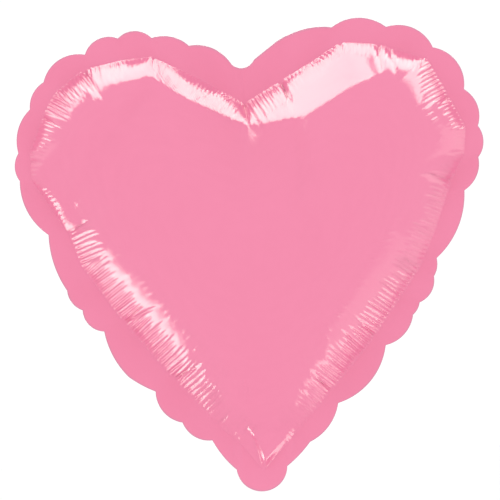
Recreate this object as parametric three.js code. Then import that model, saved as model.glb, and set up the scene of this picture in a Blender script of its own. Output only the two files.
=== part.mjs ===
// Heart-shaped foil balloon of the 18-inch size, inflated. Millimetres, +Z up.
// The front faces -Y. The middle plane of the films is y = 0, and z = 0 is the lowest point of the inlet tab.

import * as THREE from 'three';

// Driving dimensions
const panelRise = 75;        // height of each dome above its flange, at the fullest place
const panelFilm = 0.5;       // thickness of a panel
const flangeGap = 0.5;       // from the middle plane to a panel's inner face along the flange
const neckGap = 1.6;         // the same in the inlet tab, where the valve lies between the panels
const neckHalfWidth = 18;    // half width of the part of the tab that stands at neckGap
const neckBlend = 8;         // width over which the tab comes down to the flange
const neckTop = 48;          // height up to which the tab's extra gap is kept
const tipTaper = 120;        // height below which the dome flattens towards the tip
const valleySharpness = 14;  // of the valley that runs down from the cleft

const sealThickness = 0.4;   // perimeter seal
const sealOuterShare = 0.12; // its outer edge, as a share of the flange's width from the outline
const sealInnerShare = 0.92; // its inner edge

const valveWidth = 24;
const valveBottom = 6.5;
const valveTop = 104;
const valveFilm = 0.3;
const valveCorner = 3;
const valveSeamWidth = 3;    // fused line along each side of the valve
const innerFilm = 0.2;       // thickness of the release print and of the valve's side seals
const inletSealFilm = 0.3;
const printWidth = 15;
const printTop = 34;
const gap = 0.3;             // clearance between neighbouring layers

// The heart's outline, clockwise from the cleft as seen from the front: [x, z, bulge].
// Each point is a notch where the flange folds, and bulge is how far the scallop to the next notch
// stands out from the straight line between them.
const notches = [
  [-2, 352, -1.5], [8, 358.5, 0], [28, 373, 0.8], [48, 381, 1.2], [74, 382, 8], [119, 380, 8],
  [157, 361, 9], [181, 325, 5.5], [191, 294, 4.7], [190, 268, 4.5], [177, 241, 7], [151, 186, 1.5],
  [148, 171, 4.5], [135, 150, 1], [129, 140, 5.5], [105, 116, 9], [63, 70, 5], [38, 39, 1],
  [18, 20, 19.5], [-24, 19, 1.5], [-43, 44.5, 5], [-67, 60.5, 6], [-88, 87.5, 1], [-110, 101, 3],
  [-128, 139.5, 5], [-145, 158, 3], [-157, 175, 3.7], [-170, 222, 6.2], [-191.5, 268, 3.7],
  [-191.5, 291, 5], [-180, 327, 3.8], [-167.5, 349, 8], [-132, 370, 7], [-104, 382, 5.8],
  [-76, 381, 4.5], [-45.5, 373, 5.6], [-11, 356, -1],
];
const stepsPerScallop = 4;
const longScallop = 45;      // a scallop longer than this gets twice the steps

// The seam, where the dome rises from the flange: straight runs between the folds, in the same order.
const folds = [
  [-2, 323], [29, 340], [60, 357], [80, 369.5], [111.5, 366.5], [152, 352], [168, 321], [181, 293],
  [178.5, 271], [167, 250], [151, 208], [137, 179], [96, 123], [57, 79], [18, 38], [-1.5, 17],
  [-18, 39], [-39, 58], [-73, 97.5], [-112, 147], [-144, 195], [-153, 222], [-182, 268],
  [-182.5, 290], [-168, 325], [-159, 340], [-134, 358], [-102, 364], [-76, 365.5], [-38, 345],
];

// Rings of a panel inside the seam, as shares of the way from the heart's middle to the seam.
const middle = new THREE.Vector2(0, 200);
const ringShares = [1, 0.965, 0.9, 0.8, 0.66, 0.48, 0.28];
const halvedFrom = 5;        // from this ring on, each ring has half the points of the one before

const foilPink = { color: 0xf48faf, roughness: 0.3, metalness: 0.15 };
const clearFilm = { color: 0xe9e4e6, roughness: 0.35, metalness: 0 };
const fusedPink = { color: 0xe9a3bb, roughness: 0.5, metalness: 0 };
const releaseInk = { color: 0xc8c2cc, roughness: 0.7, metalness: 0 };

// Points of an arc from a to b that stands out to the left of the way from a to b by bulge.
function scallop(a, b, bulge) {
  const chord = b.clone().sub(a);
  const outward = new THREE.Vector2(-chord.y, chord.x).normalize();
  const bend = 2 * Math.atan(2 * bulge / chord.length());
  const length = bend === 0 ? chord.length() : chord.length() * bend / Math.sin(bend);
  const steps = length > longScallop ? 2 * stepsPerScallop : stepsPerScallop;
  return Array.from({ length: steps }, (_, i) => {
    const t = i / steps;
    if (bend === 0) return a.clone().addScaledVector(chord, t);
    const turn = bend * (2 * t - 1);
    const along = 0.5 + Math.sin(turn) / (2 * Math.sin(bend));
    const out = chord.length() * (Math.cos(turn) - Math.cos(bend)) / (2 * Math.sin(bend));
    return a.clone().addScaledVector(chord, along).addScaledVector(outward, out);
  });
}

function closedOutline() {
  return notches.flatMap(([x, z, bulge], i) => {
    const [nextX, nextZ] = notches[(i + 1) % notches.length];
    return scallop(new THREE.Vector2(x, z), new THREE.Vector2(nextX, nextZ), bulge);
  });
}

const outline = closedOutline();
const foldPoints = folds.map(([x, z]) => new THREE.Vector2(x, z));
const seamRuns = foldPoints.map((start, i) => ({ start, end: foldPoints[(i + 1) % foldPoints.length] }));

// Where the ray from the heart's middle through a point of the outline crosses the seam.
function seamBehind(point) {
  const ray = point.clone().sub(middle);
  const reaches = seamRuns.map(({ start, end }) => {
    const run = end.clone().sub(start);
    const from = start.clone().sub(middle);
    const cross = ray.cross(run);
    const along = from.cross(ray) / cross;
    const reach = from.cross(run) / cross;
    return along >= -1e-9 && along <= 1 + 1e-9 && reach > 0 ? reach : Infinity;
  });
  return middle.clone().addScaledVector(ray, Math.min(...reaches));
}

const seam = outline.map(seamBehind);

// Where a line from the cleft meets the seam ahead of it, and the index of the run it meets there.
function acrossFromCleft(way) {
  const cleft = foldPoints[0];
  let met = { reach: Infinity };
  seamRuns.forEach(({ start, end }, index) => {
    const run = end.clone().sub(start);
    const from = start.clone().sub(cleft);
    const cross = way.cross(run);
    const along = from.cross(way) / cross;
    const reach = from.cross(run) / cross;
    if (along >= 0 && along <= 1 && reach > 1 && reach < met.reach) met = { reach, index };
  });
  return { far: cleft.clone().addScaledVector(way, met.reach), index: met.index };
}

// The walls of the chamber's two halves. Each half is its own lobe's side of the seam, closed by its
// top run carried on past the cleft.
function chamberHalves() {
  const cleft = foldPoints[0];
  const left = acrossFromCleft(cleft.clone().sub(foldPoints.at(-1)).normalize());
  const right = acrossFromCleft(cleft.clone().sub(foldPoints[1]).normalize());
  return [
    [left.far, ...foldPoints.slice(left.index + 1), cleft],
    [...foldPoints.slice(0, right.index + 1), right.far],
  ];
}

const halves = chamberHalves();

// How far a point is from a half's walls, felt from all sides: near a wall it is the distance to it,
// and it is smooth everywhere inside. Outside the half it is 0.
function roomWithin(point, corners) {
  let pull = 0;
  let turn = 0;
  corners.forEach((start, i) => {
    const end = corners[(i + 1) % corners.length];
    const toStart = start.clone().sub(point);
    const toEnd = end.clone().sub(point);
    const angle = Math.atan2(toStart.cross(toEnd), toStart.dot(toEnd));
    const run = end.clone().sub(start).normalize();
    turn += angle;
    pull += Math.abs(angle) / Math.max(Math.abs(run.cross(toStart)), 1e-3);
  });
  return Math.abs(turn) > Math.PI ? Math.PI / pull : 0;
}

// The larger of the two halves' rooms, with the valley between them rounded off.
function room(point) {
  const total = halves.reduce((sum, corners) => sum + roomWithin(point, corners) ** valleySharpness, 0);
  return total ** (1 / valleySharpness);
}

const heightsTried = Array.from({ length: 36 }, (_, i) => 150 + 4 * i);
const fullestRoom = Math.max(...heightsTried.map((z) => room(new THREE.Vector2(0, z))));

function domeHeight(point) {
  const tip = Math.sqrt(Math.tanh(Math.max(point.y, 0) / tipTaper));
  return panelRise * room(point) / fullestRoom * tip;
}

// Half gap between the panels before the dome is added.
function restingGap(point) {
  const side = 1 - THREE.MathUtils.smoothstep(Math.abs(point.x), neckHalfWidth, neckHalfWidth + neckBlend);
  const up = 1 - THREE.MathUtils.smoothstep(point.y, neckTop, neckTop + neckBlend);
  return flangeGap + (neckGap - flangeGap) * side * up;
}

// The panel's inner face as rings of points from the outline inwards, with y counted outwards.
function panelRings() {
  const lift = (point, height) => new THREE.Vector3(point.x, restingGap(point) + height, point.y);
  const rings = [outline.map((point) => lift(point, 0))];
  ringShares.forEach((share, i) => {
    const every = 2 ** Math.max(0, i - halvedFrom + 1);
    const chosen = seam.filter((_, k) => k % every === 0);
    rings.push(chosen.map((point) => {
      const place = middle.clone().lerp(point, share);
      return lift(place, share === 1 ? 0 : domeHeight(place));
    }));
  });
  rings.push([lift(middle, domeHeight(middle))]);
  return rings;
}

// Triangles between neighbouring rings. A ring has as many points as the next, twice as many, or
// the next is the single point in the middle.
function ringTriangles(rings) {
  const triangles = [];
  let first = 0;
  for (let r = 0; r + 1 < rings.length; r++) {
    const count = rings[r].length;
    const inner = first + count;
    const innerCount = rings[r + 1].length;
    for (let k = 0; k < count; k++) {
      const a = first + k;
      const b = first + (k + 1) % count;
      if (innerCount === 1) {
        triangles.push([a, b, inner]);
      } else if (innerCount === count) {
        triangles.push([a, b, inner + k], [b, inner + (k + 1) % count, inner + k]);
      } else if (k % 2 === 0) {
        triangles.push([a, b, inner + k / 2]);
      } else {
        const near = inner + (k - 1) / 2;
        const next = inner + ((k + 1) / 2) % innerCount;
        triangles.push([a, b, near], [b, next, near]);
      }
    }
    first = inner;
  }
  return triangles;
}

function geometryFrom(points, triangles) {
  const geometry = new THREE.BufferGeometry();
  geometry.setAttribute('position', new THREE.Float32BufferAttribute(points.flatMap((p) => p.toArray()), 3));
  geometry.setIndex(triangles.flat());
  geometry.computeVertexNormals();
  return geometry;
}

// A film of even thickness over the rings. side is -1 for the front and 1 for the rear.
function panelGeometry(side) {
  const rings = panelRings();
  const inner = rings.flat();
  const triangles = ringTriangles(rings);
  const normals = geometryFrom(inner, triangles).getAttribute('normal');
  const outer = inner.map((point, k) => {
    const normal = new THREE.Vector3().fromBufferAttribute(normals, k);
    return point.clone().addScaledVector(normal, panelFilm * Math.sign(normal.y));
  });
  const shift = inner.length;
  const shell = [
    ...triangles,
    ...triangles.map(([a, b, c]) => [shift + a, shift + c, shift + b]),
  ];
  outline.forEach((_, k) => {
    const next = (k + 1) % outline.length;
    shell.push([k, shift + k, next], [next, shift + k, shift + next]);
  });
  const points = [...inner, ...outer].map((p) => new THREE.Vector3(p.x, side * p.y, p.z));
  return geometryFrom(points, side < 0 ? shell : shell.map(([a, b, c]) => [a, c, b]));
}

// The fused band between the panels: a flat strip along the flange that stops on each side of the valve.
function perimeterSealGeometry() {
  const besideValve = valveWidth / 2 + 1;
  const inTab = (point) => point.y < neckTop / 2 && Math.abs(point.x) < besideValve;
  const start = outline.findLastIndex(inTab) + 1;
  const stop = outline.findIndex(inTab);
  const count = outline.length;
  const kept = Array.from({ length: (stop - start + count) % count }, (_, i) => (start + i) % count);
  const half = sealThickness / 2;
  const points = kept.flatMap((k) => {
    const outer = outline[k].clone().lerp(seam[k], sealOuterShare);
    const inner = outline[k].clone().lerp(seam[k], sealInnerShare);
    return [
      new THREE.Vector3(outer.x, -half, outer.y), new THREE.Vector3(inner.x, -half, inner.y),
      new THREE.Vector3(inner.x, half, inner.y), new THREE.Vector3(outer.x, half, outer.y),
    ];
  });
  const triangles = [[0, 2, 1], [0, 3, 2]];
  for (let k = 0; k + 1 < kept.length; k++) {
    for (let edge = 0; edge < 4; edge++) {
      const a = 4 * k + edge;
      const b = 4 * k + (edge + 1) % 4;
      triangles.push([a, b, a + 4], [b, b + 4, a + 4]);
    }
  }
  const last = 4 * (kept.length - 1);
  triangles.push([last, last + 1, last + 2], [last, last + 2, last + 3]);
  return geometryFrom(points, triangles);
}

// A flat piece cut to a shape in the x-z plane, lying with its middle at y = 0.
function flatPiece(shape, thickness) {
  const settings = { depth: thickness, bevelEnabled: false, curveSegments: 4 };
  const geometry = new THREE.ExtrudeGeometry(shape, settings);
  return geometry.translate(0, 0, -thickness / 2).rotateX(Math.PI / 2);
}

// A strip from z = low to z = high whose corners are rounded.
function strip(left, right, low, high, corner) {
  const shape = new THREE.Shape();
  shape.moveTo(left + corner, low);
  shape.lineTo(right - corner, low);
  shape.absarc(right - corner, low + corner, corner, -Math.PI / 2, 0, false);
  shape.lineTo(right, high - corner);
  shape.absarc(right - corner, high - corner, corner, 0, Math.PI / 2, false);
  shape.lineTo(left + corner, high);
  shape.absarc(left + corner, high - corner, corner, Math.PI / 2, Math.PI, false);
  shape.lineTo(left, low + corner);
  shape.absarc(left + corner, low + corner, corner, Math.PI, 1.5 * Math.PI, false);
  return shape;
}

// The fused patch in the tab. Its top follows the seam's point.
function inletPatch() {
  const half = valveWidth / 2 - 1;
  const rise = 12;
  const point = 16;
  const shape = new THREE.Shape();
  shape.moveTo(-half, valveBottom + 2);
  shape.lineTo(half, valveBottom + 2);
  shape.lineTo(half, point + rise);
  shape.lineTo(0, point);
  shape.lineTo(-half, point + rise);
  shape.closePath();
  return shape;
}

const balloon = new THREE.Group();

function addPiece(parent, name, geometry, finish, y = 0) {
  const mesh = new THREE.Mesh(geometry, new THREE.MeshStandardMaterial(finish));
  mesh.name = name;
  mesh.position.y = y;
  parent.add(mesh);
}

addPiece(balloon, 'front_panel', panelGeometry(-1), foilPink);
addPiece(balloon, 'rear_panel', panelGeometry(1), foilPink);
addPiece(balloon, 'perimeter_seal', perimeterSealGeometry(), fusedPink);

const valve = new THREE.Group();
balloon.add(valve);

const sealLeft = -valveWidth / 2;
const sealRight = valveWidth / 2 - valveSeamWidth;
const filmY = innerFilm / 2 + gap + valveFilm / 2;
const inletY = innerFilm / 2 + gap + valveFilm + gap + inletSealFilm / 2;
const filmShape = strip(-valveWidth / 2, valveWidth / 2, valveBottom, valveTop, valveCorner);
const printShape = strip(-printWidth / 2, printWidth / 2, valveBottom + 1, printTop, 1);

for (const [name, left] of [['left', sealLeft], ['right', sealRight]]) {
  const line = strip(left, left + valveSeamWidth, valveBottom + valveCorner, valveTop - valveCorner, 0.5);
  addPiece(valve, `valve_side_seal_${name}`, flatPiece(line, innerFilm), clearFilm);
}
for (const [name, side] of [['front', -1], ['rear', 1]]) {
  addPiece(valve, `valve_${name}_film`, flatPiece(filmShape, valveFilm), clearFilm, side * filmY);
  addPiece(valve, `${name}_inlet_seal`, flatPiece(inletPatch(), inletSealFilm), fusedPink, side * inletY);
}
addPiece(valve, 'valve_release_print', flatPiece(printShape, innerFilm), releaseInk);

export default balloon;
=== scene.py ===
"""Heart-shaped foil balloon, 18-inch size, inflated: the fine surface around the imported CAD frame.

Lengths are named in millimetres and turned into metres where a mesh is made. The front faces -Y.
"""

import math

import bpy
import numpy as np
from mathutils import Matrix, Vector


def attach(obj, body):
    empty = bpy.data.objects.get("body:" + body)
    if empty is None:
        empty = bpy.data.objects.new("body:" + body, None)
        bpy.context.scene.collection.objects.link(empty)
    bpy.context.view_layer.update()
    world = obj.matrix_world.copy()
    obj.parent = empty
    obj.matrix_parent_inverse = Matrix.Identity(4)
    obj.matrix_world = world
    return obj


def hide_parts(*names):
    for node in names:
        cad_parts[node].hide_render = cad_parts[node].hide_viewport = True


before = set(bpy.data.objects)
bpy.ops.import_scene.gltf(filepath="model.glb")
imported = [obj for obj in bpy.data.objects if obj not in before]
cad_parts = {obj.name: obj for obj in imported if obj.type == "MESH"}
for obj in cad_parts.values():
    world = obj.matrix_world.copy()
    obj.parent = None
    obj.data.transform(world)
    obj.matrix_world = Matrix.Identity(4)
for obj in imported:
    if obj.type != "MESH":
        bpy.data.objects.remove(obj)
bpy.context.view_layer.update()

MM = 0.001

# --------------------------------------------------------------------------- driving dimensions

RISE = 75.0            # height of each dome above its flange
VALLEY = 14            # sharpness of the valley that runs down from the cleft
TIP_TAPER = 120.0      # height below which the dome flattens towards the tip
FILM = 0.25            # thickness of a foil
SHALLOW_TIP = (20, 110)  # heights between which the gathers grow to their full depth
TIP_FOLD_SPAN = (17, 66)  # lowest and highest place of the fold at the tip
TIP_FOLD_HALF = (2.8, 1.0)  # half the ramp's width at those places
TIP_FOLD_SLOPE = (0.95, 1.35)  # its slope at those places
TIP_FOLD_CURVE = 120.0    # how slowly that fold curves to the left
TIP_FOLD_FADE = 12.0      # how soon the film levels out on its right
INNER_DROP = 0.9       # how far the inner face lies below the outer one under the gathers
FLANGE_GAP = 0.25      # from the middle plane to a foil's inner face along the flange
NECK_GAP = 1.6         # the same in the inlet tab, where the valve lies between the foils
NECK_HALF_WIDTH = 18.0
NECK_BLEND = 8.0
NECK_TOP = 48.0
SEAL_END = 13.0        # the fused band stops this far on each side of the middle, beside the valve
SEAL_HALF = 0.1        # half the fused band's thickness
SEAL_OUT = (0.985, 0.6, 0.3, 0.03)  # its lines of points, as shares of the way from the seam to the rim
VALVE_WIDTH = 24.0
VALVE_LOW = 6.5
VALVE_HIGH = 104.0
VALVE_CORNER = 3.0
VALVE_FILM = 0.3       # also the thickness of the inlet patches
VALVE_SWAY = 1.6       # how far the valve's free end hangs out of the middle plane
FUSED_LINE = 3.0       # width of the line that joins the valve's films along each side
INNER_LAYER = 0.2      # thickness of those lines and of the release print
LAYER_GAP = 0.3        # clearance between neighbouring layers of the valve
PRINT_WIDTH = 15.0
PRINT_HIGH = 34.0
PATCH_POINT = 16.0     # lowest point of an inlet patch's top edge, and how far its ends stand above that
PATCH_RISE = 12.0
STATION = 0.66         # spacing of the finest mesh along the outline
MIDDLE = np.array([0.0, 200.0])

# The outline clockwise from the cleft: a notch (x, z), and how far the scallop after it stands out.
NOTCHES = [
    (-2, 352, -1.5), (8, 358.5, 0), (28, 373, 0.8), (48, 381, 1.2), (74, 382, 8), (119, 380, 8),
    (157, 361, 9), (181, 325, 5.5), (191, 294, 4.7), (190, 268, 4.5), (177, 241, 7), (151, 186, 1.5),
    (148, 171, 4.5), (135, 150, 1), (129, 140, 5.5), (105, 116, 9), (63, 70, 5), (38, 39, 1),
    (18, 20, 19.5), (-24, 19, 1.5), (-43, 44.5, 5), (-67, 60.5, 6), (-88, 87.5, 1), (-110, 101, 3),
    (-128, 139.5, 5), (-145, 158, 3), (-157, 175, 3.7), (-170, 222, 6.2), (-191.5, 268, 3.7),
    (-191.5, 291, 5), (-180, 327, 3.8), (-167.5, 349, 8), (-132, 370, 7), (-104, 382, 5.8),
    (-76, 381, 4.5), (-45.5, 373, 5.6), (-11, 356, -1),
]

# The seam in the same order: straight runs between the folds where the rim buckled.
FOLDS = np.array([
    (-2, 323), (29, 340), (60, 357), (80, 369.5), (111.5, 366.5), (152, 352), (168, 321), (181, 293),
    (178.5, 271), (167, 250), (151, 208), (137, 179), (96, 123), (57, 79), (18, 38), (-1.5, 17),
    (-18, 39), (-39, 58), (-73, 97.5), (-112, 147), (-144, 195), (-153, 222), (-182, 268),
    (-182.5, 290), (-168, 325), (-159, 340), (-134, 358), (-102, 364), (-76, 365.5), (-38, 345),
], float)
# For each of those runs: how far its gathers reach into the dome, how deep they are, and their pitch.
GATHERS = np.array([
    (34, 1.3, 3.5), (17, 1.0, 3.5), (15, 1.0, 3.5), (12, 0.7, 3.5), (18, 1.0, 3.6), (22, 1.7, 3.6),
    (16, 1.3, 3.6), (12, 0.9, 3.6), (16, 1.0, 3.6), (22, 1.2, 3.8), (26, 1.6, 3.8), (28, 1.8, 3.8),
    (28, 1.9, 3.8), (26, 1.6, 3.5), (14, 0.8, 3.5), (12, 0.8, 3.5), (28, 2.1, 4.4), (29, 2.1, 4.2),
    (28, 2.0, 4.0), (28, 1.9, 4.0), (26, 1.8, 4.0), (10, 0.4, 4.0), (12, 0.6, 4.0), (18, 0.9, 3.8),
    (24, 2.0, 3.8), (24, 2.0, 3.8), (20, 1.5, 3.6), (13, 0.6, 3.5), (24, 0.8, 3.5), (28, 1.0, 3.5),
])
# Rows of short bumps further in: first run, last run, inset from the seam, pitch, length, height.
BUMPS = [
    (6, 7, 23.0, 5.5, 7.0, 1.0), (10, 12, 37.0, 6.5, 5.0, 0.9), (17, 19, 37.0, 5.5, 7.0, 0.9),
]
CLEFT = FOLDS[0]
RUN_START = FOLDS
RUN_END = np.roll(FOLDS, -1, axis=0)
RUN_LENGTH = np.linalg.norm(RUN_END - RUN_START, axis=1)
RUN_WAY = (RUN_END - RUN_START) / RUN_LENGTH[:, None]
RUN_OFFSET = np.concatenate([[0.0], np.cumsum(RUN_LENGTH)[:-1]])
SEAM_LENGTH = RUN_LENGTH.sum()

# Creases: from a fold on the seam inwards, how deep, and how wide.
CREASES = [
    ((-2, 323), (1, 298), 3.0, 1.6), ((29, 340), (41, 303), 3.6, 1.7),
    ((111.5, 366.5), (113, 336), 3.0, 1.7), ((121, 362), (126, 326), 1.3, 1.4),
    ((168, 321), (157, 309), 2.4, 2.0), ((167, 250), (137, 259), 3.0, 2.0),
    ((98, 122), (72, 150), 2.0, 1.6), ((78, 106), (60, 123), 1.4, 1.5),
    ((58, 79), (40, 100), 1.6, 1.6), ((-134, 358), (-116, 327), 3.0, 1.6),
    ((-170, 320), (-151, 308), 2.2, 1.6), ((-182, 284), (-168, 281), 1.8, 1.6),
    ((-153, 223), (-130, 234), 2.6, 2.0), ((-112, 146), (-76, 161), 3.2, 1.9),
    ((-73, 97.5), (-42, 113), 2.8, 1.9), ((-39, 58), (-26, 67), 1.6, 1.8),
    ((80, 369.5), (82, 356), 1.2, 1.6), ((-76, 365.5), (-74, 350), 1.5, 1.2),
]

# Fold lines of the front foil: where, how much steeper outside, how much flatter inside, and the span.
FRONT_BENDS = [
    (((43, 308), (114, 341)), 0.20, 0.12, 15.0),
    (((-75, 346), (-50, 327), (-2, 304), (41, 306)), 0.0, 0.42, 38.0),
    (((-118, 344), (-77, 348)), 0.0, 0.24, 26.0),
    (((-150, 222), (-179, 269)), 0.0, 0.36, 24.0),
]


# --------------------------------------------------------------------------- the heart's plane shape

def scallop(start, end, bulge):
    """Points from start to end, end left out, on an arc that stands out by bulge."""
    chord = end - start
    length = float(np.hypot(*chord))
    outward = np.array([-chord[1], chord[0]]) / length
    bend = 2 * math.atan(2 * bulge / length)
    arc = length if bend == 0 else length * bend / math.sin(bend)
    steps = 16 * max(1, round(arc / STATION / 16))
    t = np.arange(steps) / steps
    if bend == 0:
        return start + chord * t[:, None], t
    turn = bend * (2 * t - 1)
    along = 0.5 + np.sin(turn) / (2 * math.sin(bend))
    out = length * (np.cos(turn) - math.cos(bend)) / (2 * math.sin(bend))
    return start + chord * along[:, None] + outward * out[:, None], t


def outline():
    """The outline's stations, which scallop each is on, and how far along it, from 0 to 1."""
    points, which, share = [], [], []
    for i, (x, z, bulge) in enumerate(NOTCHES):
        end = np.array(NOTCHES[(i + 1) % len(NOTCHES)][:2], float)
        arc, t = scallop(np.array([x, z], float), end, bulge)
        points.append(arc)
        which.append(np.full(len(t), i))
        share.append(t)
    return np.concatenate(points), np.concatenate(which), np.concatenate(share)


def cross(a, b):
    return a[..., 0] * b[..., 1] - a[..., 1] * b[..., 0]


def seam_behind(points):
    """Where the ray from the heart's middle through each point crosses the seam."""
    ray = (points - MIDDLE)[:, None, :]
    start = (RUN_START - MIDDLE)[None]
    run = (RUN_END - RUN_START)[None]
    across = cross(ray, run)
    along = cross(start, ray) / across
    reach = cross(start, run) / across
    reach = np.where((along >= -1e-9) & (along <= 1 + 1e-9) & (reach > 0), reach, np.inf)
    return MIDDLE + (points - MIDDLE) * reach.min(axis=1)[:, None]


def crossing(start, way):
    """Where a line from start meets the seam ahead, its first millimetre left out, and on which run."""
    run = RUN_END - RUN_START
    across = cross(way[None], run)
    offset = RUN_START - start
    reach = cross(offset, run) / across
    along = cross(offset, way[None]) / across
    reach = np.where((along >= 0) & (along <= 1) & (reach > 1), reach, np.inf)
    run_met = int(reach.argmin())
    return start + way * reach[run_met], run_met


def half(keep_left):
    """One half of the chamber: its runs of the seam, closed by its top run carried on past the cleft."""
    if keep_left:
        far, met = crossing(CLEFT, RUN_WAY[-1])
        return np.array([far, *FOLDS[met + 1:], CLEFT])
    far, met = crossing(CLEFT, -RUN_WAY[0])
    return np.array([*FOLDS[:met + 1], far])


def half_room(points, corners):
    """How far a point is from a half's walls, felt from all sides: near a wall it is the distance to it."""
    ends = np.roll(corners, -1, axis=0)
    to_start = corners[None] - points[:, None]
    to_end = ends[None] - points[:, None]
    angle = np.arctan2(cross(to_start, to_end), (to_start * to_end).sum(-1))
    way = (ends - corners) / np.linalg.norm(ends - corners, axis=1)[:, None]
    distance = np.abs(cross(way[None], to_start))
    pull = (np.abs(angle) / np.maximum(distance, 1e-3)).sum(axis=1)
    inside = np.abs(angle.sum(axis=1)) > math.pi
    return np.where(inside, math.pi / pull, 0.0)


def room(points):
    """The larger of the two halves' rooms, with the valley between them rounded off."""
    left, right = (half_room(points, walls) for walls in HALVES)
    return (left ** VALLEY + right ** VALLEY) ** (1 / VALLEY)


HALVES = (half(True), half(False))


def nearest_on_seam(points):
    """For each point, its distance from the seam, and how far along the seam the nearest place is."""
    offset = points[:, None] - RUN_START[None]
    along = np.clip((offset * RUN_WAY[None]).sum(-1), 0, RUN_LENGTH[None])
    away = np.linalg.norm(offset - along[..., None] * RUN_WAY[None], axis=-1)
    run = away.argmin(axis=1)
    rows = np.arange(len(points))
    return away[rows, run], RUN_OFFSET[run] + along[rows, run]


def smooth(x, low, high):
    t = np.clip((x - low) / (high - low), 0, 1)
    return t * t * (3 - 2 * t)


FULLEST = room(np.stack([np.zeros(40), np.linspace(150, 290, 40)], 1)).max()


def dome(points):
    """Height of a smooth dome above the flange."""
    return RISE * room(points) / FULLEST * np.sqrt(np.tanh(np.maximum(points[:, 1], 0) / TIP_TAPER))


def resting_gap(points):
    """Half gap between the foils before the dome is added: they part round the valve in the tab."""
    side = 1 - smooth(np.abs(points[:, 0]), NECK_HALF_WIDTH, NECK_HALF_WIDTH + NECK_BLEND)
    up = smooth(points[:, 1], 1.0, 6.0) * (1 - smooth(points[:, 1], NECK_TOP, NECK_TOP + NECK_BLEND))
    return FLANGE_GAP + (NECK_GAP - FLANGE_GAP) * side * up


# --------------------------------------------------------------------------- folds, creases, puckers

def rim_lean(which, share, out, height):
    """How far the rim stands towards -Y or +Y, each scallop one way. out is 0 at the seam and 1 outside."""
    lean = np.random.RandomState(11)
    size = lean.uniform(1.0, 2.6, len(NOTCHES)) * np.where(np.arange(len(NOTCHES)) % 2 == 0, 1, -1)
    notches = np.array(NOTCHES)[:, :2]
    chord = np.linalg.norm(np.roll(notches, -1, axis=0) - notches, axis=1)
    size *= np.minimum(chord / 30, 1.2)
    return size[which] * np.sin(math.pi * share) * out * smooth(height, 35, 60)


def creases(points, lines):
    """Depth of the sharp valleys that run from folds of the seam into the dome."""
    depth = np.zeros(len(points))
    for start, end, deep, wide in lines:
        start, end = np.array(start, float), np.array(end, float)
        length = float(np.hypot(*(end - start)))
        way = (end - start) / length
        offset = points - start
        along = offset @ way
        aside = np.abs(cross(way[None], offset))
        t = np.clip(along / length, 0, 1)
        fade = smooth(along, -2.0, 3.0) * (1 - smooth(along, 0.35 * length, length))
        width = wide * (1.0 - 0.5 * t)
        depth += deep * fade * np.exp(-aside / width)
    return depth


def gather_lines(seed):
    """Every gather: its place along the seam, reach into the dome, depth, half width and slant."""
    draw = np.random.RandomState(seed)
    lines = []
    for i, (reach, deep, pitch) in enumerate(GATHERS):
        count = max(1, round(RUN_LENGTH[i] / pitch))
        for k in range(count):
            place = RUN_OFFSET[i] + (k + 0.5 + draw.uniform(-0.12, 0.12)) * RUN_LENGTH[i] / count
            lines.append((place, reach * draw.uniform(0.75, 1.05), deep * draw.uniform(0.6, 1.0),
                          0.3 * pitch * draw.uniform(0.85, 1.15), draw.uniform(-0.05, 0.05)))
    return np.array(lines)


def puckers(away, place, lines):
    """Depth of the fine gathers that run from the seam into the dome, square to the seam."""
    depth = np.zeros(len(away))
    near = np.flatnonzero(away < 40)
    first = np.searchsorted(lines[:, 0], place[near])
    for step in (-2, -1, 0, 1):
        at, reach, deep, width, slant = lines[(first + step) % len(lines)].T
        aside = place[near] - at + slant * away[near]
        aside = (aside + SEAM_LENGTH / 2) % SEAM_LENGTH - SEAM_LENGTH / 2
        fade = smooth(away[near], -1.0, 3.0) * (1 - smooth(away[near], 0.6 * reach, reach))
        depth[near] += deep * fade * np.exp(-((aside / width) ** 2))
    return depth


def bumps(away, place, rows):
    """Height of the short bumps that stand in rows along the seam, where longer gathers end."""
    height = np.zeros(len(away))
    for first, last, inset, pitch, length, tall in rows:
        start, stop = RUN_OFFSET[first], RUN_OFFSET[last] + RUN_LENGTH[last]
        count = round((stop - start) / pitch)
        draw = np.random.RandomState(first)
        shown = draw.uniform(0.2, 1.0, count)
        shift = draw.uniform(-2.0, 2.0, count)
        cell = np.clip(((place - start) / (stop - start) * count).astype(int), 0, count - 1)
        aside = place - start - (cell + 0.5) * (stop - start) / count
        in_row = (place > start) & (place < stop)
        ahead = away - inset - shift[cell]
        height += tall * in_row * shown[cell] * np.exp(-((aside / 1.2) ** 2) - (2 * ahead / length) ** 2)
    return height


def bends(points, away, lines):
    """Shallow fold lines across the dome: the film falls faster outside one, and lies flatter inside it."""
    lift = np.zeros(len(points))
    for path, outside, inside, span in lines:
        path = np.array(path, float)
        ways = np.diff(path, axis=0)
        lengths = np.linalg.norm(ways, axis=1)
        ways /= lengths[:, None]
        out = np.min([cross(way[None], points - start) for start, way in zip(path, ways)], axis=0)
        after_start = (points - path[0]) @ ways[0]
        before_end = (path[-1] - points) @ ways[-1]
        held = smooth(after_start, -8, 6) * smooth(before_end, -8, 6)
        lift -= held * np.where(out > 0, outside, inside) * np.abs(out) * np.exp(-np.abs(out) / span)
    return lift * smooth(away, 0, 18)


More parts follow.
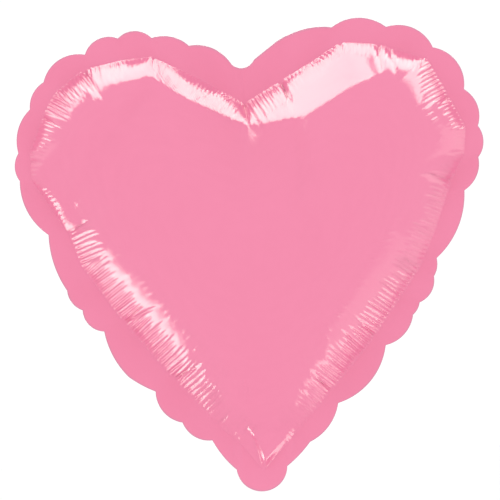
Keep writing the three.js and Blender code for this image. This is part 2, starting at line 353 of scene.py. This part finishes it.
def tip_fold(points, away):
    """The large fold at the tip: a ramp that rises to the right, on a curve that leans left as it goes up."""
    low, high = TIP_FOLD_SPAN
    above = points[:, 1] - low
    up = np.clip(above / (high - low), 0, 1)
    aside = (points[:, 0] + 1 + above ** 2 / TIP_FOLD_CURVE) / np.hypot(1, 2 * above / TIP_FOLD_CURVE)
    half = TIP_FOLD_HALF[0] + (TIP_FOLD_HALF[1] - TIP_FOLD_HALF[0]) * up
    steep = TIP_FOLD_SLOPE[0] + (TIP_FOLD_SLOPE[1] - TIP_FOLD_SLOPE[0]) * up
    lift = steep * np.clip(aside + half, 0, 2 * half)
    lift *= np.exp(-np.maximum(aside - half, 0) / TIP_FOLD_FADE)
    return lift * smooth(away, 0, 6) * (1 - smooth(points[:, 1], high - 20, high))


# --------------------------------------------------------------------------- meshes

def ring_faces(counts):
    """Faces between neighbouring rings. A ring has as many points as the next, twice, half, or one."""
    faces = []
    first = 0
    for count, following in zip(counts, counts[1:]):
        inner = first + count
        k = np.arange(max(count, following))
        if following == count:
            n = (k + 1) % count
            faces += np.stack([first + k, first + n, inner + n, inner + k], 1).tolist()
        elif following == 1:
            faces += np.stack([first + k, first + (k + 1) % count, np.full(count, inner)], 1).tolist()
        elif count == 1:
            faces += np.stack([np.full(following, first), inner + (k + 1) % following, inner + k], 1).tolist()
        elif count == 2 * following:
            even = np.arange(0, count, 2)
            low = inner + even // 2
            high = inner + (even // 2 + 1) % following
            faces += np.stack([first + even, first + even + 1, low], 1).tolist()
            faces += np.stack([first + even + 1, first + (even + 2) % count, high, low], 1).tolist()
        else:
            even = np.arange(0, following, 2)
            low = first + even // 2
            high = first + (even // 2 + 1) % count
            faces += np.stack([low, inner + even + 1, inner + even], 1).tolist()
            faces += np.stack([low, high, inner + (even + 2) % following, inner + even + 1], 1).tolist()
        first = inner
    return faces


def make_object(name, points, faces):
    mesh = bpy.data.meshes.new(name)
    mesh.from_pydata((points * MM).tolist(), [], faces)
    mesh.polygons.foreach_set("use_smooth", np.ones(len(mesh.polygons), bool))
    mesh.update()
    obj = bpy.data.objects.new(name, mesh)
    bpy.context.scene.collection.objects.link(obj)
    return obj


def foil(name, side, seed, lines, turns, rows):
    """One foil as a closed thin shell: rings from the middle of its inner face out round the rim and back."""
    edge, which, share = outline()
    seam = seam_behind(edge)
    total = len(edge)

    flange_out = [1.0, 0.985, 0.93, 0.8, 0.62, 0.44, 0.26, 0.1, 0.02]
    dome_in = [0, 0.5, 1.2, 2.1, 3.2, 4.4, 5.8, 7.3, 9, 10.8, 12.7, 14.7, 16.8, 19, 21.3, 23.7, 26.2, 28.8]
    coarse_in = [32, 35.5, 39, 43, 47, 51.5, 56]
    coarser_in = [61, 67, 73, 80, 87, 95]
    coarsest_in = [104, 113, 122, 131, 140, 149, 158, 164]
    reach = 170.0

    gathers = gather_lines(seed)
    rings, outs = [], []

    def raised(place):
        away, along = nearest_on_seam(place)
        gathered = puckers(away, along, gathers) * smooth(place[:, 1], *SHALLOW_TIP)
        height = dome(place) + bends(place, away, turns) + bumps(away, along, rows) + tip_fold(place, away)
        return np.maximum(height - creases(place, lines) - gathered, 0)

    def ring(every, at_flange=None, deep=0.0, inner_face=False):
        picked = slice(0, total, every)
        share_out = 0.0 if at_flange is None else at_flange
        place = seam[picked] + (edge[picked] - seam[picked]) * share_out
        place = MIDDLE + (place - MIDDLE) * (1 - deep / reach)
        out = np.full(len(place), share_out)
        height = raised(place) if deep > 0 else np.zeros(len(place))
        if inner_face:
            height = np.maximum(height - INNER_DROP, 0) - FILM
        lean = rim_lean(which[picked], share[picked], out, place[:, 1])
        y = side * (resting_gap(place) + FILM + height) + lean
        rings.append(np.stack([place[:, 0], y, place[:, 1]], 1))
        outs.append(out)

    def pole(drop):
        top = raised(MIDDLE[None])[0] + FLANGE_GAP + FILM - drop
        rings.append(np.array([[MIDDLE[0], side * top, MIDDLE[1]]]))
        outs.append(np.zeros(1))

    pole(INNER_DROP + FILM)
    for deep in coarsest_in[::-1]:
        ring(8, deep=deep, inner_face=True)
    for deep in (95, 80, 67, 56, 47, 39):
        ring(4, deep=deep, inner_face=True)
    for deep in (33, 29, 25, 21.3, 17.5, 14, 10.8, 7.3, 4.4, 2.1, 0):
        ring(2, deep=deep, inner_face=True)
    for out in (0.3, 0.65, 0.97):
        ring(2, at_flange=out, inner_face=True)
    ring(1, at_flange=0.995, inner_face=True)
    for out in flange_out:
        ring(1, at_flange=out)
    for deep in dome_in:
        ring(1, deep=deep)
    for deep in coarse_in:
        ring(2, deep=deep)
    for deep in coarser_in:
        ring(4, deep=deep)
    for deep in coarsest_in:
        ring(8, deep=deep)
    pole(0)

    counts = [len(r) for r in rings]
    faces = ring_faces(counts)
    if side > 0:
        faces = [face[::-1] for face in faces]
    piece = make_object(name, np.concatenate(rings), faces)
    attribute = piece.data.attributes.new("rim", "FLOAT", "POINT")
    attribute.data.foreach_set("value", np.concatenate(outs).astype(np.float32))
    return piece


def seal_band():
    """The fused band between the foils, from the rim to the seam, which stops on each side of the valve."""
    edge, which, share = outline()
    seam = seam_behind(edge)
    beside_valve = SEAL_END
    in_tab = (edge[:, 1] < NECK_TOP / 2) & (np.abs(edge[:, 0]) < beside_valve)
    start = int(np.flatnonzero(in_tab)[-1]) + 1
    kept = (start + np.arange(len(edge) - int(in_tab.sum()))) % len(edge)
    kept = kept[::2]
    strips = []
    section = [(out, -SEAL_HALF) for out in SEAL_OUT] + [(out, SEAL_HALF) for out in reversed(SEAL_OUT)]
    for out, half in section:
        place = seam[kept] + (edge[kept] - seam[kept]) * out
        y = rim_lean(which[kept], share[kept], np.full(len(kept), out), place[:, 1]) + half
        strips.append(np.stack([place[:, 0], y, place[:, 1]], 1))
    around = len(strips)
    points = np.stack(strips, 1).reshape(-1, 3)
    faces = []
    for k in range(len(kept) - 1):
        for j in range(around):
            a, b = around * k + j, around * k + (j + 1) % around
            faces.append((a, b, b + around, a + around))
    faces.append(tuple(reversed(range(around))))
    faces.append(tuple(around * (len(kept) - 1) + j for j in range(around)))
    return make_object("fused_rim", points, faces)


def strip_shape(left, right, low, high, corner):
    """Maps the unit square onto an upright strip with rounded corners."""
    def place(across, up):
        z = low + (high - low) * up
        from_end = np.minimum(np.minimum(z - low, high - z), corner)
        cut = corner - np.sqrt(np.maximum(corner ** 2 - (corner - from_end) ** 2, 0))
        return left + cut + (right - left - 2 * cut) * across, z
    return place


def patch_shape(across, up):
    """Maps the unit square onto the inlet patch, whose top follows the point of the seam."""
    x = (VALVE_WIDTH - 2) * (across - 0.5)
    top = PATCH_POINT + PATCH_RISE * np.abs(x) / (VALVE_WIDTH / 2 - 1)
    return x, VALVE_LOW + 2 + (top - VALVE_LOW - 2) * up


def layer(name, place, thick, y, rows=60):
    """One flat layer of the valve. Above the neck, where it hangs free in the gas, it sways a little."""
    columns = 12
    ends = (1 - np.cos(np.linspace(0, math.pi, rows + 1))) / 2
    across, up = np.meshgrid(np.linspace(0, 1, columns + 1), ends)
    x, z = place(across, up)
    sway = VALVE_SWAY * np.sin((z - NECK_TOP) / 17) * smooth(z, NECK_TOP, VALVE_HIGH)
    faces_y = [y + sway + half * thick / 2 for half in (-1, 1)]
    points = np.concatenate([np.stack([x, face_y, z], -1).reshape(-1, 3) for face_y in faces_y])
    width, shift = columns + 1, (columns + 1) * (rows + 1)
    quads = [(r * width + c, r * width + c + 1, (r + 1) * width + c + 1, (r + 1) * width + c)
             for r in range(rows) for c in range(columns)]
    faces = quads + [tuple(shift + k for k in reversed(quad)) for quad in quads]
    border = [*range(columns), *range(columns, shift - 1, width), *range(shift - 1, shift - width, -1)]
    border += list(range(shift - width, 0, -width))
    for a, b in zip(border, border[1:] + border[:1]):
        faces.append((b, a, shift + a, shift + b))
    return make_object(name, points, faces)


# --------------------------------------------------------------------------- materials

def new_material(name):
    material = bpy.data.materials.new(name)
    material.use_nodes = True
    return material, material.node_tree.nodes, material.node_tree.links


def noise(nodes, scale, detail=3.0):
    texture = nodes.new("ShaderNodeTexNoise")
    texture.inputs["Scale"].default_value = scale
    texture.inputs["Detail"].default_value = detail
    return texture.outputs["Fac"]


def spread(nodes, links, factor, low, high):
    """The factor's middle range stretched to run from low to high."""
    stretch = nodes.new("ShaderNodeMapRange")
    stretch.inputs["From Min"].default_value = 0.3
    stretch.inputs["From Max"].default_value = 0.7
    stretch.inputs["To Min"].default_value = low
    stretch.inputs["To Max"].default_value = high
    links.new(factor, stretch.inputs["Value"])
    return stretch.outputs["Result"]


def two_tone(nodes, links, factor, first, second):
    mix = nodes.new("ShaderNodeMix")
    mix.data_type = "RGBA"
    links.new(factor, mix.inputs["Factor"])
    for socket, colour in ((6, first), (7, second)):
        if isinstance(colour, tuple):
            mix.inputs[socket].default_value = (*colour, 1)
        else:
            links.new(colour, mix.inputs[socket])
    return mix.outputs[2]


def relief(nodes, links, height, distance, strength=1.0):
    bump = nodes.new("ShaderNodeBump")
    bump.inputs["Distance"].default_value = distance
    bump.inputs["Strength"].default_value = strength
    links.new(height, bump.inputs["Height"])
    return bump.outputs["Normal"]


def foil_material():
    """Pink nylon foil: a nearly even print, a grain in its gloss, and a thin grey-pink line of painted shade
    along the rim's outer edge.
    """
    material, nodes, links = new_material("pink_foil")
    surface = nodes["Principled BSDF"]
    body = two_tone(nodes, links, spread(nodes, links, noise(nodes, 22), 0, 1),
                    (0.880, 0.236, 0.392), (0.890, 0.241, 0.399))
    # Painted shade: near the rim's outer edge the base colour darkens to grey-pink, a thin painted line of
    # shade along the outline.
    rim_place = nodes.new("ShaderNodeAttribute")
    rim_place.attribute_name = "rim"
    cut = nodes.new("ShaderNodeMapRange")
    cut.inputs["From Min"].default_value = 0.93
    cut.inputs["From Max"].default_value = 0.99
    links.new(rim_place.outputs["Fac"], cut.inputs["Value"])
    tone_with_edge_shade = two_tone(nodes, links, cut.outputs["Result"], body, (0.72, 0.26, 0.39))
    links.new(tone_with_edge_shade, surface.inputs["Base Color"])
    links.new(spread(nodes, links, noise(nodes, 90), 0.045, 0.065), surface.inputs["Roughness"])
    links.new(relief(nodes, links, noise(nodes, 260, 2.0), 0.00002), surface.inputs["Normal"])
    return material


def sealant_material():
    """Fused sealant seen through the film: mottled pink, with the fine crimp of the sealing tool."""
    material, nodes, links = new_material("fused_sealant")
    surface = nodes["Principled BSDF"]
    mottle = spread(nodes, links, noise(nodes, 140), 0, 1)
    tone = two_tone(nodes, links, mottle, (0.79, 0.35, 0.48), (0.83, 0.39, 0.52))
    links.new(tone, surface.inputs["Base Color"])
    links.new(spread(nodes, links, noise(nodes, 400), 0.42, 0.56), surface.inputs["Roughness"])
    crimp = nodes.new("ShaderNodeTexWave")
    crimp.inputs["Scale"].default_value = 220
    links.new(relief(nodes, links, crimp.outputs["Fac"], 0.00005), surface.inputs["Normal"])
    return material


def film_material(name, first, second, rough, grain, crimped=False):
    """A thin milky film, or a line fused in it, which is clearer and crimped."""
    material, nodes, links = new_material(name)
    surface = nodes["Principled BSDF"]
    links.new(two_tone(nodes, links, spread(nodes, links, noise(nodes, grain), 0, 1), first, second),
              surface.inputs["Base Color"])
    gloss = spread(nodes, links, noise(nodes, 3 * grain), rough - 0.06, rough + 0.06)
    links.new(gloss, surface.inputs["Roughness"])
    height = noise(nodes, 2 * grain)
    if crimped:
        wave = nodes.new("ShaderNodeTexWave")
        wave.bands_direction = "Z"
        wave.inputs["Scale"].default_value = 300
        height = wave.outputs["Fac"]
    links.new(relief(nodes, links, height, 0.00005), surface.inputs["Normal"])
    return material


# --------------------------------------------------------------------------- build

pink = foil_material()
sealant = sealant_material()
milky = film_material("milky_film", (0.79, 0.75, 0.77), (0.83, 0.79, 0.81), 0.38, 180)
fused_line = film_material("fused_line", (0.74, 0.70, 0.73), (0.80, 0.76, 0.78), 0.30, 240, crimped=True)
ink = film_material("release_ink", (0.52, 0.48, 0.55), (0.62, 0.58, 0.64), 0.72, 900)


def settle(piece, node, material):
    """Gives a piece its material, and puts it in the frame in the CAD node's place."""
    piece.data.materials.append(material)
    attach(piece, "root")
    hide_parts(node)


front = foil("front_foil", -1, 3, CREASES, FRONT_BENDS, BUMPS)
back = foil("back_foil", 1, 5, CREASES, [], BUMPS)
for piece, node in ((front, "front_panel"), (back, "rear_panel")):
    settle(piece, node, pink)

settle(seal_band(), "perimeter_seal", sealant)

film_shape = strip_shape(-VALVE_WIDTH / 2, VALVE_WIDTH / 2, VALVE_LOW, VALVE_HIGH, VALVE_CORNER)
film_y = INNER_LAYER / 2 + LAYER_GAP + VALVE_FILM / 2
patch_y = INNER_LAYER / 2 + 2 * (LAYER_GAP + VALVE_FILM) - VALVE_FILM / 2
for way, side in (("front", -1), ("rear", 1)):
    film = layer(f"{way}_valve_film", film_shape, VALVE_FILM, side * film_y)
    settle(film, f"valve_{way}_film", milky)
    patch = layer(f"{way}_inlet_patch", patch_shape, VALVE_FILM, side * patch_y, rows=12)
    settle(patch, f"{way}_inlet_seal", sealant)

line_low, line_high = VALVE_LOW + VALVE_CORNER, VALVE_HIGH - VALVE_CORNER
for way, left in (("left", -VALVE_WIDTH / 2), ("right", VALVE_WIDTH / 2 - FUSED_LINE)):
    line_shape = strip_shape(left, left + FUSED_LINE, line_low, line_high, 0.5)
    line = layer(f"{way}_fused_line", line_shape, INNER_LAYER, 0)
    settle(line, f"valve_side_seal_{way}", fused_line)
print_shape = strip_shape(-PRINT_WIDTH / 2, PRINT_WIDTH / 2, VALVE_LOW + 1, PRINT_HIGH, 1)
print_layer = layer("release_print", print_shape, INNER_LAYER, 0, rows=24)
settle(print_layer, "valve_release_print", ink)

# --------------------------------------------------------------------------- studio

def stage_floor():
    bpy.ops.mesh.primitive_plane_add(size=8, location=(0, 0, -0.35))
    floor = bpy.context.object
    floor.name = "studio_floor"
    material, nodes, links = new_material("pale_floor")
    nodes["Principled BSDF"].inputs["Base Color"].default_value = (0.98, 0.98, 0.98, 1)
    nodes["Principled BSDF"].inputs["Roughness"].default_value = 0.8
    floor.data.materials.append(material)
    return floor


def softbox(name, over, azimuth, front, rear, spread, radiance, away=0.9):
    """A soft light whose mirror image lies in the foil round over (x, z), on the side that azimuth names.

    azimuth is clockwise from straight up, as the camera sees it. front, rear and spread are the angles
    it fills, seen from over: front and rear from the way to the camera, spread across.
    """
    turn, middle = math.radians(azimuth), math.radians((front + rear) / 2)
    right, up = math.sin(turn), math.cos(turn)
    outward = Vector((right * math.sin(middle), -math.cos(middle), up * math.sin(middle)))
    deep = Vector((right * math.cos(middle), math.sin(middle), up * math.cos(middle)))
    across = deep.cross(outward)
    data = bpy.data.lights.new(name, "AREA")
    data.shape = "RECTANGLE"
    data.size = 2 * away * math.tan(math.radians(spread / 2))
    data.size_y = 2 * away * math.tan(math.radians((rear - front) / 2))
    data.energy = radiance * math.pi * data.size * data.size_y
    data.color = (1.0, 0.98, 0.8)
    lamp = bpy.data.objects.new(name, data)
    lamp.visible_diffuse = False
    lamp.visible_camera = False
    place = Vector((over[0] * MM, -0.01, over[1] * MM)) + outward * away
    lamp.matrix_world = Matrix.Translation(place) @ Matrix((across, deep, outward)).transposed().to_4x4()
    bpy.context.scene.collection.objects.link(lamp)
    return lamp


def studio():
    world = bpy.data.worlds.new("studio")
    world.use_nodes = True
    world.node_tree.nodes["Background"].inputs["Color"].default_value = (1, 1, 1, 1)
    world.node_tree.nodes["Background"].inputs["Strength"].default_value = 1.04
    bpy.context.scene.world = world
    bpy.context.scene.view_settings.view_transform = "Standard"
    stage_floor()
    softbox("top_softbox", (40, 340), -12, 77.5, 112, 50, 8.6)
    softbox("top_right_softbox", (-35, 340), 31, 88, 112, 24, 8.6)
    softbox("right_shoulder_softbox", (158, 335), 46, 79, 110, 30, 6.8)
    softbox("left_shoulder_softbox", (-150, 335), -47, 85, 112, 22, 6.4)
    softbox("left_flank_softbox", (-105, 150), -122, 87, 110, 30, 8.2, away=0.6)
    softbox("right_flank_softbox", (85, 110), 148, 86, 110, 22, 4.0, away=0.45)
    softbox("right_wall", (110, 150), 126, 84, 106, 34, 0.7, away=0.6)
    softbox("right_side", (172, 280), 90, 83, 108, 34, 1.1)
    softbox("left_side", (-176, 295), -80, 84, 108, 20, 0.7)


def front_camera():
    data = bpy.data.cameras.new("camera")
    distance = 1.8
    frame_width = 0.4155
    roll = math.radians(3)
    data.sensor_width = 36
    data.lens = data.sensor_width * distance / frame_width
    camera = bpy.data.objects.new("camera", data)
    right = Vector((math.cos(roll), 0, -math.sin(roll)))
    up = Vector((math.sin(roll), 0, math.cos(roll)))
    back_way = Vector((0, -1, 0))
    place = Vector((-0.0035, -distance, 0.2008))
    camera.matrix_world = Matrix.Translation(place) @ Matrix((right, up, back_way)).transposed().to_4x4()
    bpy.context.scene.collection.objects.link(camera)
    bpy.context.scene.camera = camera


studio()
front_camera()
